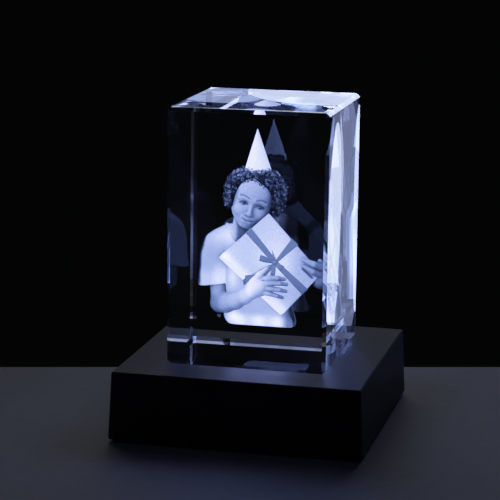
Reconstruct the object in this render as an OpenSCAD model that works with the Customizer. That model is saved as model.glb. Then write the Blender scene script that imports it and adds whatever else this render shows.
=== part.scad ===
// Crystal photo block on a lit display base.
// A clear cuboid with bevelled edges carries a picture engraved inside it and
// stands loose on a square base that holds a light, three AAA cells and a switch.
// Origin: middle of the base on the table. +Z up, the front of the picture faces -Y.
// All sizes in millimetres.

/* [Crystal] */
// Width and depth of the crystal block
block_w = 50; // [46:1:54]
// Height of the crystal block
block_h = 80; // [78:1:90]
// Width of the ground bevel along every edge, measured along each face
block_bevel = 1.1; // [0.5:0.1:3]
// Height that the block is lifted for cleaning
lift_travel = 40; // [10:5:80]

/* [Base] */
// Width of the base at its lower rim
base_w = 79; // [79:1:84]
// How much narrower the base is at its top
base_taper = 1.8; // [0:0.2:2.4]
// Height of the base shell above its feet
base_h = 21; // [20:0.5:24]
// Wall thickness of the base shell
wall = 2; // [1.6:0.1:2]
// Thickness of the top plate
top_t = 2.5; // [2.5:0.1:3]
// Chamfer round the top edge of the base
edge_c = 0.4; // [0.2:0.1:0.8]

/* [Light] */
// Radius of the light window in the top plate
window_r = 15; // [10:0.5:15]
// Lamps along each side of the square field of lamps
lamp_rows = 3; // [1:1:3]
// Distance between neighbouring lamps
lamp_pitch = 8.2; // [6:0.2:8.4]

/* [Feet and fasteners] */
// Radius of each rubber foot
foot_r = 4; // [3:0.5:4.5]
// Height that the feet hold the base off the table
foot_drop = 1; // [0.6:0.1:1.5]
// Shank radius of the cover screws
screw_r = 1.1; // [0.9:0.1:1.2]

/* [Switch] */
// Travel of the switch knob
switch_travel = 4; // [2:0.5:4]

/* [Battery door] */
// Radius of the door's hinge pins
hinge_pin_r = 0.7; // [0.5:0.1:0.7]

/* [Hidden] */
$fn = 64;
e = 0.01;
z0 = foot_drop;                    // lower rim of the shell
z1 = z0 + base_h;                  // top face of the base
taper_half = base_taper / 2;
plate_t = 2.4;                     // cover plate
zc = z0 + plate_t;                 // inside face of the cover plate
cover_half = base_w / 2 - wall - 0.2;
ceil_z = z1 - top_t;               // underside of the top plate
slope = taper_half / base_h;       // lean of the side walls

// battery box
box_x = 26.6;                      // half length inside
box_y = 17.2;                      // half width inside
box_t = 1.2;
box_top = z0 + 13;                 // ceiling inside
cell_r = 5.25;
cell_l = 44.5;
cell_pitch = 11;
cell_z = z0 + 7.4;
contact_t = 0.4;
cell_y = [-cell_pitch, 0, cell_pitch];
cell_dir = [1, -1, 1];             // +1: the positive end points to +X

// light
board_z = z0 + 14.6;
board_t = 1.2;
board_half = [13, 24];
board_screw_y = 21;
lamp_h = 1.5;
window_step = z1 - 1.5;

// switch, in the back wall
sw_z = z0 + 8.5;
sw_front = 36.9;
sw_rest = switch_travel / 2;       // lit: knob on the +X side

// fasteners and feet
boss_x = 33.5;
boss_y = 18;
foot_at = 31.5;
corners = [[1, 1], [-1, 1], [-1, -1], [1, -1]];

// battery door hinge line
hinge_x = -30;
hinge_z = z0 + 1.3;
door_t = 1.6;
knuckle_y = [-9, 9];

// wires
wire_r = 0.6;
pos_route = [[26.6, 11, 16.2], [28.2, 11, 16.2], [28.8, 12.5, 16.2], [28.8, 17, 16.2], [28.2, 20.4, 15.2], [25.5, 22.6, 13], [18, 23.5, 10.8], [9, 23.8, 9.8], [5, 24.6, 9.6], [3.4, 26, 9.5], [3, 27.4, 9.5], [3, 28.5, 9.5]];
lead_route = [[0, 28.5, 9.5], [0, 27.2, 9.5], [-0.6, 26, 9.6], [-2.4, 24.6, 10.4], [-4.6, 23, 11.8], [-5.8, 22.2, 13.2], [-6, 22, 14.4], [-6, 22, 15.6]];
neg_route = [[-26.6, -11, 16.2], [-28.2, -11, 16.2], [-28.8, -12.5, 16.2], [-28.8, -17, 16.2], [-28.2, -20.4, 15.2], [-24.5, -22.4, 13.4], [-16, -22.8, 12.4], [-9, -22.5, 12.6], [-6.6, -22.1, 13.4], [-6, -22, 14.4], [-6, -22, 15.6]];

// engraved picture, heights counted from the underside of the block
fig_y = 6.6;                       // middle of the figure, behind the block's middle
gift_c = [5, 1, 30.3];
gift_s = [25.4, 4, 21.6];
gift_turn = 43.6;
torso_outline = [[-11.6, 11], [-11.8, 21.6], [-20, 21], [-19.4, 29], [-17.4, 35.6], [-14, 38.6], [-9.6, 40.4], [-3, 41.4], [4, 40], [10, 37], [14, 31], [14, 22], [11, 11], [6, 9.6], [0, 9.2], [-6, 9.6]];

// ---- helpers ----

// solid between x-low .. x-high and so on
module box(lo, hi) { translate(lo) cube([hi[0] - lo[0], hi[1] - lo[1], hi[2] - lo[2]]); }

// a cross-section in X and Z swept along Y, met by the same one swept along X
module both_ways(profile, reach = 80) {
  intersection() {
    rotate([90, 0, 0]) linear_extrude(height = 2 * reach, center = true) polygon(profile);
    rotate([90, 0, 90]) linear_extrude(height = 2 * reach, center = true) polygon(profile);
  }
}

function frustum_profile(hb, ht, za, zb) = [[-hb, za], [hb, za], [ht, zb], [-ht, zb]];

module at_bosses() { for (c = corners) translate([c[0] * boss_x, c[1] * boss_y, 0]) children(); }
module at_feet() { for (c = corners) translate([c[0] * foot_at, c[1] * foot_at, 0]) children(); }

// ---- tube along points ----
function unit(v) = v / norm(v);
function tangent(p, i) = unit(p[min(i + 1, len(p) - 1)] - p[max(i - 1, 0)]);
function side_of(t) = unit(cross(t, abs(t[2]) < 0.9 ? [0, 0, 1] : [1, 0, 0]));
function frame_at(p, i) = i == 0 ? side_of(tangent(p, 0)) : let (s = frame_at(p, i - 1), t = tangent(p, i)) unit(s - t * (s * t));
module tube(p, r, sides = 8) {
  rings = [for (i = [0 : len(p) - 1]) let (t = tangent(p, i), s = frame_at(p, i), u = cross(t, s))
            [for (k = [0 : sides - 1]) let (a = 360 * k / sides) p[i] + r * (cos(a) * s + sin(a) * u)]];
  n = len(p);
  pts = [for (ring = rings) each ring];
  faces = concat(
    [[for (k = [0 : sides - 1]) k]],
    [for (i = [0 : n - 2]) for (k = [0 : sides - 1]) let (k2 = (k + 1) % sides)
      [i * sides + k, (i + 1) * sides + k, (i + 1) * sides + k2, i * sides + k2]],
    [[for (k = [sides - 1 : -1 : 0]) (n - 1) * sides + k]]);
  polyhedron(points = pts, faces = faces, convexity = 6);
}

// ---- crystal ----

// every edge of the cuboid is ground to a flat bevel
module crystal_solid() {
  h = block_w / 2;
  b = block_bevel;
  side = [[-h + b, 0], [h - b, 0], [h, b], [h, block_h - b], [h - b, block_h], [-h + b, block_h], [-h, block_h - b], [-h, b]];
  plan = [[-h + b, -h], [h - b, -h], [h, -h + b], [h, h - b], [h - b, h], [-h + b, h], [-h, h - b], [-h, -h + b]];
  intersection() {
    both_ways(side);
    linear_extrude(height = block_h) polygon(plan);
  }
}

module crystal_block() { color([0.86, 0.92, 1.0, 0.35]) translate([0, 0, z1]) crystal_solid(); }

module gift_solid() {
  translate(gift_c) rotate([0, gift_turn, 0]) {
    cube(gift_s, center = true);
    // ribbons, a little proud of the wrapping
    translate([0, -0.15, 0]) cube([gift_s[0] + 0.3, gift_s[1] + 0.3, 2.6], center = true);
    translate([0, -0.15, 0]) cube([2.6, gift_s[1] + 0.3, gift_s[2] + 0.3], center = true);
  }
}

// limb: a rod with a ball at each end
module limb(a, b, r) {
  v = b - a;
  l = norm(v);
  translate(a) rotate([0, acos(v[2] / l), atan2(v[1], v[0])]) cylinder(r = r * 0.96, h = l);
  translate(a) sphere(r = r);
  translate(b) sphere(r = r);
}

module figure_solid() {
  // party hat
  translate([-1.4, fig_y, 57.6]) cylinder(r1 = 4.3, r2 = 0.1, h = 13.6);
  // head with curly hair, a flattened round
  translate([-1.8, fig_y, 50]) rotate([-90, 0, 0]) rotate_extrude() polygon([[0, -5], [3.6, -4.6], [6.6, -3.4], [8.8, -1.6], [10, 1], [9.6, 3], [8, 4.4], [0, 5]]);
  // neck
  translate([-3, fig_y, 36]) cylinder(r = 3.2, h = 8);
  // shirt
  translate([0, fig_y + 3.6, 0]) rotate([90, 0, 0]) linear_extrude(height = 6.4) polygon(torso_outline);
  // near arm round the front of the gift
  limb([-14.8, 5.4, 24], [-14.3, 2.2, 15.6], 2.9);
  limb([-14.3, 2.2, 15.6], [0.4, -3.8, 20.4], 2.5);
  limb([0.4, -3.8, 20.4], [7, -3.8, 22.8], 2.2);
  // far hand on the gift's edge
  limb([16.6, -0.4, 24.8], [18.2, 0.2, 29.2], 2.2);
}

module engraved_gift() { color([0.9, 0.93, 1.0]) translate([0, 0, z1]) gift_solid(); }

module engraved_figure() { color([0.78, 0.82, 0.98]) translate([0, 0, z1]) figure_solid(); }

// ---- base shell ----

module housing_outer() {
  hb = base_w / 2;
  ht = hb - taper_half;
  d = sqrt(2);
  intersection() {
    both_ways([[-hb, z0], [hb, z0], [ht + slope * edge_c, z1 - edge_c], [ht - edge_c, z1], [-ht + edge_c, z1], [-ht - slope * edge_c, z1 - edge_c]]);
    // upright corners eased by a narrow flat
    rotate([0, 0, 45]) both_ways(frustum_profile(hb * d - 0.45, ht * d - 0.45, z0 - 1, z1 + 1));
  }
}

module housing_cavity() {
  hb = base_w / 2 - wall + slope;
  both_ways(frustum_profile(hb, hb - slope * (ceil_z - z0 + 1), z0 - 1, ceil_z));
}

module base_housing() {
  color([0.03, 0.03, 0.035]) difference() {
    union() {
      difference() {
        housing_outer();
        housing_cavity();
      }
      // screw bosses, each with a rib to the wall
      at_bosses() translate([0, 0, zc]) cylinder(r = 3, h = ceil_z - zc + 0.5);
      for (c = corners) box([min(c[0] * boss_x, c[0] * 37), c[1] * boss_y - 0.6, zc + 1], [max(c[0] * boss_x, c[0] * 37), c[1] * boss_y + 0.6, ceil_z + 0.5]);
      // posts for the light board
      for (s = [-1, 1]) translate([0, s * board_screw_y, board_z + board_t]) cylinder(r = 2.6, h = ceil_z - board_z - board_t + 0.5);
      // bracket round the switch
      for (s = [-1, 1]) box([s > 0 ? 6.1 : -7.6, 32, sw_z - 3], [s > 0 ? 7.6 : -6.1, 37.6, ceil_z + 0.5]);
      box([-7.6, 33, sw_z + 3.4], [7.6, 37.6, ceil_z + 0.5]);
    }
    // light window: an opening with a step under it
    translate([0, 0, ceil_z - 1]) cylinder(r = window_r, h = top_t + 2);
    translate([0, 0, ceil_z - 1]) cylinder(r = window_r + 2, h = window_step - ceil_z + 1);
    // pilot holes
    at_bosses() translate([0, 0, zc - 1]) cylinder(r = screw_r + 0.02, h = 9.6);
    for (s = [-1, 1]) translate([0, s * board_screw_y, board_z]) cylinder(r = 0.97, h = 4.4);
    // recess and slot for the switch knob
    box([-6.5, 38.2, sw_z - 3], [6.5, 41, sw_z + 3]);
    box([-4.2, 36, sw_z - 1.6], [4.2, 41, sw_z + 1.6]);
  }
}

// ---- light ----

module light_window() {
  color([0.93, 0.96, 1.0, 0.8]) {
    translate([0, 0, window_step]) cylinder(r = window_r - 0.1, h = z1 - 0.1 - window_step);
    translate([0, 0, window_step - 0.9]) cylinder(r = window_r + 1.9, h = 0.9);
  }
}

module led_board() {
  color([0.9, 0.91, 0.9]) difference() {
    box([-board_half[0], -board_half[1], board_z], [board_half[0], board_half[1], board_z + board_t]);
    for (s = [-1, 1]) translate([0, s * board_screw_y, board_z - 1]) cylinder(r = 1.15, h = board_t + 2);
  }
}

module lamp() {
  difference() {
    translate([-2.5, -2.5, 0]) cube([5, 5, lamp_h]);
    // the yellow pool in the package
    translate([0, 0, lamp_h - 0.3]) cylinder(r = 2, h = 1);
  }
}

module leds() {
  first = -(lamp_rows - 1) / 2 * lamp_pitch;
  color([0.98, 0.97, 0.88]) translate([first, first, board_z + board_t])
    for (i = [0 : lamp_rows - 1]) for (j = [0 : lamp_rows - 1]) translate([i * lamp_pitch, j * lamp_pitch, 0]) lamp();
}

module led_resistors() {
  color([0.06, 0.06, 0.07]) for (s = [-1, 1]) translate([s * 6.5, 19.6, board_z + board_t]) {
    translate([-1.6, -0.8, 0]) cube([3.2, 1.6, 0.6]);
  }
}

module pan_screw(head_r, head_h, shank_r, shank_l) {
  difference() {
    union() {
      cylinder(r = head_r, h = head_h);
      translate([0, 0, head_h - e]) cylinder(r = shank_r, h = shank_l + e);
    }
    // cross recess
    for (a = [0, 90]) rotate([0, 0, a]) translate([-head_r * 0.6, -0.25, -1]) cube([head_r * 1.2, 0.5, 1 + head_h * 0.55]);
  }
}

module board_screws() {
  color("silver") for (s = [-1, 1]) translate([0, s * board_screw_y, board_z - 1.2]) pan_screw(1.75, 1.2, 0.95, 4.2);
}

// ---- cover, screws and feet ----

module base_cover() {
  color([0.035, 0.035, 0.04]) difference() {
    union() {
      box([-cover_half, -cover_half, z0], [cover_half, cover_half, zc]);
      box([-box_x - box_t, -box_y - box_t, zc - e], [box_x + box_t, box_y + box_t, box_top + box_t]);
      // rib under the switch
      box([-6, 32, zc - e], [6, 36.4, sw_z - 3.4]);
    }
    // battery box, open downwards
    box([-box_x, -box_y, z0 - 1], [box_x, box_y, box_top]);
    // seat for the door
    box([-29, -18.2, z0 - 1], [29, 18.2, z0 + door_t + 0.1]);
    // slots for the two solder tags
    box([box_x - contact_t - 0.2, 9.2, box_top - 1], [box_x + box_t + 1, 12.8, box_top + 4]);
    box([-box_x - box_t - 1, -12.8, box_top - 1], [-box_x + contact_t + 0.2, -9.2, box_top + 4]);
    // hinge: a notch and a pair of bores for each knuckle
    for (y = knuckle_y) {
      box([hinge_x - 1.4, y - 3.2, z0 - 1], [-28, y + 3.2, zc + 1]);
      translate([hinge_x, y - 4.8, hinge_z]) rotate([-90, 0, 0]) cylinder(r = hinge_pin_r + 0.05, h = 9.6);
    }
    // pocket for the latch tongue and a scoop for a fingernail
    box([28.5, -5.3, z0 - 1], [30.5, 5.3, z0 + 1.1]);
    translate([30.5, 0, z0 - 1]) cylinder(r = 4, h = 1.8);
    // screw seats
    at_bosses() {
      translate([0, 0, z0 - 1]) cylinder(r = 2.5, h = 2.4);
      translate([0, 0, z0]) cylinder(r = screw_r + 0.2, h = plate_t + 1);
    }
    // seats for the feet
    at_feet() translate([0, 0, z0 - 1]) cylinder(r = foot_r + 0.1, h = 1.5);
  }
}

module cover_screws() {
  color("silver") at_bosses() translate([0, 0, z0 + 0.1]) pan_screw(2.2, 1.3, screw_r, 8.1);
}

module rubber_feet() {
  color([0.05, 0.05, 0.05]) at_feet() {
    cylinder(r1 = foot_r - 0.4, r2 = foot_r, h = 0.4);
    translate([0, 0, 0.4]) cylinder(r = foot_r, h = foot_drop + 0.1);
  }
}

// ---- battery door ----

module battery_door() {
  color([0.04, 0.04, 0.045]) difference() {
    union() {
      box([-27, -17.9, z0], [28.7, 17.9, z0 + door_t]);
      // latch tongue
      box([28.6, -5, z0], [30.2, 5, z0 + 0.9]);
      // hinge knuckles with their pins
      for (y = knuckle_y) {
        box([hinge_x, y - 3, z0 + 0.2], [-26.9, y + 3, z0 + door_t]);
        translate([hinge_x, y - 3, hinge_z]) rotate([-90, 0, 0]) cylinder(r = 1.1, h = 6);
        translate([hinge_x, y - 4.6, hinge_z]) rotate([-90, 0, 0]) cylinder(r = hinge_pin_r, h = 9.2);
      }
    }
    // grip lines near the latch
    for (k = [0 : 3]) box([20 + 1.8 * k, -6, z0 - 1], [20.8 + 1.8 * k, 6, z0 + 0.3]);
  }
}

// ---- cells and contacts ----

module cell() {
  rotate_extrude() polygon([[0, 0], [cell_r - 0.5, 0], [cell_r, 0.5], [cell_r, 42.6], [cell_r - 0.5, 43.1], [2.6, 43.1], [2.6, 43.3], [1.9, 43.3], [1.9, cell_l], [0, cell_l]]);
}

module battery_cells() {
  color([0.75, 0.77, 0.8]) for (i = [0 : 2]) translate([cell_dir[i] * (box_x - contact_t - 0.05 - cell_l), cell_y[i], cell_z]) rotate([0, cell_dir[i] * 90, 0]) cell();
}

module contact_plates() {
  color([0.8, 0.8, 0.78]) {
    // +X end: bridge over the first two cells, then the positive tag
    box([box_x - contact_t, -15.5, z0 + 3], [box_x, 4.5, z0 + 12]);
    box([box_x - contact_t, 6.5, z0 + 3], [box_x, 15.5, z0 + 12]);
    box([box_x - contact_t, 9.6, z0 + 11.9], [box_x, 12.4, z0 + 16]);
    // -X end: the negative tag, then the bridge over the last two cells
    box([-box_x, -15.5, z0 + 3], [-box_x + contact_t, -6.5, z0 + 12]);
    box([-box_x, -12.4, z0 + 11.9], [-box_x + contact_t, -9.6, z0 + 16]);
    box([-box_x, -4.5, z0 + 3], [-box_x + contact_t, 15.5, z0 + 12]);
  }
}

// cone-shaped coil from a contact plate to the flat end of a cell
function coil(turns, r_a, r_b, l, per_turn) = [for (i = [0 : turns * per_turn]) let (s = i / (turns * per_turn), a = 360 * turns * s, r = r_a + (r_b - r_a) * s) [r * cos(a), r * sin(a), l * s]];

module contact_springs() {
  gap = 2 * box_x - 2 * contact_t - 0.05 - cell_l;
  color([0.82, 0.82, 0.8]) for (i = [0 : 2]) translate([-cell_dir[i] * (box_x - contact_t - 0.4), cell_y[i], cell_z]) rotate([0, cell_dir[i] * 90, 0])
    tube(coil(4, 3.6, 2.3, gap - 0.8, 12), 0.3, 6);
}

// ---- switch ----

module switch_body() {
  color([0.7, 0.71, 0.73]) difference() {
    box([-6, 31, sw_z - 3.3], [6, sw_front, sw_z + 3.3]);
    box([-3.7, sw_front - 2, sw_z - 0.95], [3.7, sw_front + 1, sw_z + 0.95]);
  }
}

module switch_knob() {
  color([0.05, 0.05, 0.055]) translate([sw_rest, 0, sw_z]) difference() {
    union() {
      box([-1.5, sw_front - 1.8, -0.8], [1.5, sw_front + 0.5, 0.8]);
      box([-1.8, sw_front + 0.3, -1.3], [1.8, 39.4, 1.3]);
    }
    // grip lines on the knob
    for (k = [-1 : 1]) box([k * 0.9 - 0.2, 39.1, -2], [k * 0.9 + 0.2, 40, 2]);
  }
}

module switch_terminals() {
  color([0.85, 0.75, 0.45]) for (k = [-1 : 1]) box([3 * k - 0.7, 28.5, sw_z - 0.6], [3 * k + 0.7, 31, sw_z + 0.6]);
}

// ---- wires ----

module wire_positive() { color([0.7, 0.05, 0.05]) tube(pos_route, wire_r); }
module wire_lead() { color([0.7, 0.05, 0.05]) tube(lead_route, wire_r); }
module wire_negative() { color([0.04, 0.04, 0.04]) tube(neg_route, wire_r); }

crystal_block();
engraved_figure();
engraved_gift();
base_housing();
light_window();
led_board();
leds();
led_resistors();
board_screws();
base_cover();
cover_screws();
rubber_feet();
battery_door();
battery_cells();
contact_plates();
contact_springs();
switch_body();
switch_knob();
switch_terminals();
wire_positive();
wire_lead();
wire_negative();
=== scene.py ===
import math
import bpy
import bmesh
import numpy as np
from mathutils import Matrix, Quaternion, Vector


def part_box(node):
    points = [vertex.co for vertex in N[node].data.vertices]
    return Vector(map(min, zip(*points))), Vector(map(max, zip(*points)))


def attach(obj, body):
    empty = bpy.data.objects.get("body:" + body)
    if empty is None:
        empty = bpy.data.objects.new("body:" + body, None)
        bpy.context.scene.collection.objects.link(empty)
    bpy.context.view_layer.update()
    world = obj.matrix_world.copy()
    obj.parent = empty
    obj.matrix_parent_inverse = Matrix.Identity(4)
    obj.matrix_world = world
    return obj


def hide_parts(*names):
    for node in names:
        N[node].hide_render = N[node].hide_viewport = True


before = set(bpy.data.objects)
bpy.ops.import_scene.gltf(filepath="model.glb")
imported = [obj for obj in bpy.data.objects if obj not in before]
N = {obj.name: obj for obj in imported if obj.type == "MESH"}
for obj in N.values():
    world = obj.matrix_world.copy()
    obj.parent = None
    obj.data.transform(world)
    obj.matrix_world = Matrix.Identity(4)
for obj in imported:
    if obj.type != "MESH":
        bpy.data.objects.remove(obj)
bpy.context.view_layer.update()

MM = 0.001
scene = bpy.context.scene
BLOCK_LO, BLOCK_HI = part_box("crystal_block")
TOP_Z = BLOCK_LO.z                      # top face of the base, in metres


# ------------------------------------------------------------------ helpers

def link(obj):
    scene.collection.objects.link(obj)
    return obj


def mesh_object(name, verts, faces, smooth=False):
    me = bpy.data.meshes.new(name)
    me.from_pydata([tuple(v) for v in verts], [], [tuple(f) for f in faces])
    me.validate()
    me.update()
    if smooth:
        me.polygons.foreach_set("use_smooth", [True] * len(me.polygons))
    return link(bpy.data.objects.new(name, me))


class Mat:
    """Short hand for building a node material."""

    def __init__(self, name):
        self.m = bpy.data.materials.new(name)
        self.m.use_nodes = True
        self.t = self.m.node_tree
        self.t.nodes.clear()
        self.out = self.add("ShaderNodeOutputMaterial")

    def add(self, kind, **props):
        n = self.t.nodes.new(kind)
        for k, v in props.items():
            setattr(n, k, v)
        return n

    def join(self, a, b):
        self.t.links.new(a, b)

    def principled(self, **sockets):
        p = self.add("ShaderNodeBsdfPrincipled")
        for k, v in sockets.items():
            p.inputs[k.replace("_", " ")].default_value = v
        self.join(p.outputs[0], self.out.inputs["Surface"])
        return p

    def coords(self):
        if not hasattr(self, "_co"):
            self._co = self.add("ShaderNodeTexCoord")
        return self._co.outputs["Object"]

    def noise(self, scale, detail=4.0, rough=0.55, stretch=None, distortion=0.0):
        n = self.add("ShaderNodeTexNoise")
        n.inputs["Scale"].default_value = scale
        n.inputs["Detail"].default_value = detail
        n.inputs["Roughness"].default_value = rough
        n.inputs["Distortion"].default_value = distortion
        src = self.coords()
        if stretch:
            mp = self.add("ShaderNodeMapping")
            mp.inputs["Scale"].default_value = stretch
            self.join(src, mp.inputs["Vector"])
            src = mp.outputs[0]
        self.join(src, n.inputs["Vector"])
        return n.outputs["Fac"]

    def ramp(self, fac, stops):
        r = self.add("ShaderNodeValToRGB")
        el = r.color_ramp.elements
        while len(el) < len(stops):
            el.new(0.5)
        for e, (pos, col) in zip(el, stops):
            e.position = pos
            e.color = col if len(col) == 4 else (*col, 1.0)
        self.join(fac, r.inputs["Fac"])
        return r.outputs["Color"]

    def remap(self, fac, lo, hi, a, b):
        r = self.add("ShaderNodeMapRange")
        for k, v in zip(("From Min", "From Max", "To Min", "To Max"), (lo, hi, a, b)):
            r.inputs[k].default_value = v
        self.join(fac, r.inputs["Value"])
        return r.outputs["Result"]

    def math(self, op, a, b=None):
        n = self.add("ShaderNodeMath", operation=op)
        for i, v in enumerate((a, b)):
            if v is None:
                continue
            if isinstance(v, (int, float)):
                n.inputs[i].default_value = v
            else:
                self.join(v, n.inputs[i])
        return n.outputs[0]

    def bump(self, p, height, strength, distance):
        b = self.add("ShaderNodeBump")
        b.inputs["Strength"].default_value = strength
        b.inputs["Distance"].default_value = distance
        self.join(height, b.inputs["Height"])
        self.join(b.outputs[0], p.inputs["Normal"])
        return b

    def edge_wear(self, lo, hi):
        """How convex the surface is, from 0 on flats to 1 on worn edges."""
        g = self.add("ShaderNodeNewGeometry")
        return self.remap(g.outputs["Pointiness"], lo, hi, 0.0, 1.0)


def put(obj, *mats):
    obj.data.materials.clear()
    for m in mats:
        obj.data.materials.append(m.m if isinstance(m, Mat) else m)


# ------------------------------------------------------------------ materials

def moulded_black(name, base, grain, rough):
    m = Mat(name)
    p = m.principled(Metallic=0.0, IOR=1.48)
    fine = m.noise(grain, 3.0, 0.6)
    cloud = m.noise(60.0, 3.0, 0.5)
    col = m.ramp(cloud, [(0.3, tuple(c * 0.85 for c in base)), (0.7, tuple(c * 1.2 for c in base))])
    m.join(col, p.inputs["Base Color"])
    m.join(m.remap(fine, 0.3, 0.7, rough - 0.07, rough + 0.07), p.inputs["Roughness"])
    m.bump(p, fine, 0.22, 0.00012)
    return m


def bare_metal(name, colour, rough, streak=(1, 1, 1), metallic=1.0):
    m = Mat(name)
    p = m.principled(Metallic=metallic)
    n = m.noise(900.0, 4.0, 0.6, streak)
    col = m.ramp(n, [(0.3, tuple(c * 0.82 for c in colour)), (0.7, tuple(min(1, c * 1.08) for c in colour))])
    m.join(col, p.inputs["Base Color"])
    m.join(m.remap(n, 0.3, 0.7, rough - 0.08, rough + 0.1), p.inputs["Roughness"])
    m.bump(p, n, 0.1, 0.00004)
    return m


def plain_plastic(name, colour, rough, grain=1500.0, depth=0.00004):
    m = Mat(name)
    p = m.principled(IOR=1.48)
    n = m.noise(grain, 3.0, 0.6)
    col = m.ramp(n, [(0.3, tuple(c * 0.88 for c in colour)), (0.7, tuple(min(1, c * 1.06) for c in colour))])
    m.join(col, p.inputs["Base Color"])
    m.join(m.remap(n, 0.3, 0.7, rough - 0.05, rough + 0.06), p.inputs["Roughness"])
    m.bump(p, n, 0.12, depth)
    return m


shell_black = moulded_black("shell_black", (0.03, 0.03, 0.034), 2600.0, 0.5)
cover_black = moulded_black("cover_black", (0.02, 0.02, 0.022), 1700.0, 0.6)
knob_black = moulded_black("knob_black", (0.016, 0.016, 0.018), 3000.0, 0.38)
rubber = moulded_black("foot_rubber", (0.012, 0.012, 0.012), 900.0, 0.8)
steel = bare_metal("zinc_steel", (0.62, 0.63, 0.64), 0.3)
nickel = bare_metal("nickel_strip", (0.7, 0.68, 0.64), 0.26, (1, 6, 1))
tin = bare_metal("switch_tin", (0.62, 0.63, 0.65), 0.34, (6, 1, 1))
brass = bare_metal("tinned_brass", (0.78, 0.66, 0.36), 0.3)
board_white = plain_plastic("board_white", (0.82, 0.83, 0.82), 0.35)
chip_black = plain_plastic("chip_black", (0.03, 0.03, 0.035), 0.3)
wire_red = plain_plastic("wire_red", (0.5, 0.02, 0.02), 0.4, 700.0)
wire_black = plain_plastic("wire_black", (0.02, 0.02, 0.02), 0.42, 700.0)

for node, mat in {
    "base_housing": shell_black, "base_cover": cover_black, "battery_door": cover_black, "switch_knob": knob_black,
    "rubber_feet": rubber, "cover_screws": steel, "board_screws": steel, "contact_plates": nickel, "contact_springs": nickel,
    "switch_body": tin, "switch_terminals": brass, "led_board": board_white, "led_resistors": chip_black,
    "wire_positive": wire_red, "wire_lead": wire_red, "wire_negative": wire_black}.items():
    put(N[node], mat)


def cell_jacket():
    """Plain two-tone sleeve with bare ends, laid out along the cell."""
    m = Mat("cell_jacket")
    p = m.principled(Metallic=0.7)
    sep = m.add("ShaderNodeSeparateXYZ")
    m.join(m.coords(), sep.inputs[0])
    n = m.noise(700.0, 3.0, 0.5, (0.2, 1, 1))
    ax = m.math("ABSOLUTE", sep.outputs["X"])
    band = m.ramp(m.math("MULTIPLY", ax, 40.0), [(0.0, (0.05, 0.055, 0.06)), (0.72, (0.05, 0.055, 0.06)), (0.725, (0.55, 0.5, 0.42)), (1.0, (0.62, 0.6, 0.56))])
    m.join(band, p.inputs["Base Color"])
    m.join(m.remap(n, 0.3, 0.7, 0.22, 0.4), p.inputs["Roughness"])
    return m


put(N["battery_cells"], cell_jacket())


def lamp_glow(name, colour, strength, spots):
    """Frosted lamp: a faint glow with a bright round pool over each lamp."""
    m = Mat(name)
    p = m.principled(Roughness=0.45, Base_Color=(0.3, 0.32, 0.36, 1.0))
    n = m.noise(800.0, 3.0, 0.5)
    g = m.remap(n, 0.3, 0.7, 0.9, 1.05)
    if spots:
        total = None
        pos = m.coords()
        for x, y in spots:
            d = m.add("ShaderNodeVectorMath", operation="DISTANCE")
            flat = m.add("ShaderNodeVectorMath", operation="MULTIPLY")
            m.join(pos, flat.inputs[0])
            flat.inputs[1].default_value = (1, 1, 0)
            m.join(flat.outputs[0], d.inputs[0])
            d.inputs[1].default_value = (x, y, 0)
            s = m.remap(d.outputs["Value"], 0.0018, 0.0029, 1.0, 0.0)
            total = s if total is None else m.math("ADD", total, s)
        g = m.math("MULTIPLY", g, m.math("ADD", total, 0.004))
    m.join(m.math("MULTIPLY", g, strength), p.inputs["Emission Strength"])
    p.inputs["Emission Color"].default_value = (*colour, 1.0)
    return m


PITCH = 8.2 * MM
spots = [(i * PITCH, j * PITCH) for i in (-1, 0, 1) for j in (-1, 0, 1)]
put(N["light_window"], lamp_glow("frosted_window", (0.5, 0.62, 1.0), 14.0, spots))
put(N["leds"], lamp_glow("lamp", (0.9, 0.95, 1.0), 4.0, None))


def crystal_glass(name, rough, wave):
    """Clear optical glass; the polish leaves a very faint waviness."""
    m = Mat(name)
    p = m.principled(Transmission_Weight=1.0, IOR=1.52, Base_Color=(0.985, 0.99, 1.0, 1.0))
    n = m.noise(90.0, 2.0, 0.4)
    m.join(m.remap(n, 0.3, 0.7, 0.0, rough), p.inputs["Roughness"])
    m.bump(p, n, wave, 0.00002)
    return m


polished = crystal_glass("crystal_polished", 0.002, 0.01)
ground = crystal_glass("crystal_bevel", 0.1, 0.02)


# ------------------------------------------------------------------ crystal

def crystal_mesh():
    """Cuboid with a flat bevel along every edge and a flat at every corner."""
    lo = np.array(BLOCK_LO) + (0, 0, 0.04 * MM)
    hi = np.array(BLOCK_HI)
    b = 1.1 * MM
    bm = bmesh.new()
    pts = {}
    for i in range(8):
        s = np.array([(i >> k) & 1 for k in range(3)])
        c = np.where(s, hi, lo)
        inn = np.where(s, -b, b)
        for ax in range(3):
            q = c + inn
            q[ax] = c[ax]
            pts[i, ax] = bm.verts.new(q)
    faces, bevels = [], []
    for ax in range(3):
        o = [k for k in range(3) if k != ax]
        for side in (0, 1):
            ring = []
            for u, v in ((0, 0), (1, 0), (1, 1), (0, 1)):
                i = (side << ax) | (u << o[0]) | (v << o[1])
                ring.append(pts[i, ax])
            faces.append(bm.faces.new(ring))
        # bevels along this axis
        for u in (0, 1):
            for v in (0, 1):
                i0 = (u << o[0]) | (v << o[1])
                i1 = i0 | (1 << ax)
                bevels.append(bm.faces.new([pts[i0, o[0]], pts[i1, o[0]], pts[i1, o[1]], pts[i0, o[1]]]))
    for i in range(8):
        bevels.append(bm.faces.new([pts[i, 0], pts[i, 1], pts[i, 2]]))
    for f in bevels:
        f.material_index = 1
    bmesh.ops.recalc_face_normals(bm, faces=bm.faces[:])
    me = bpy.data.meshes.new("crystal_glass")
    bm.to_mesh(me)
    bm.free()
    return link(bpy.data.objects.new("crystal_glass", me))


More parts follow.
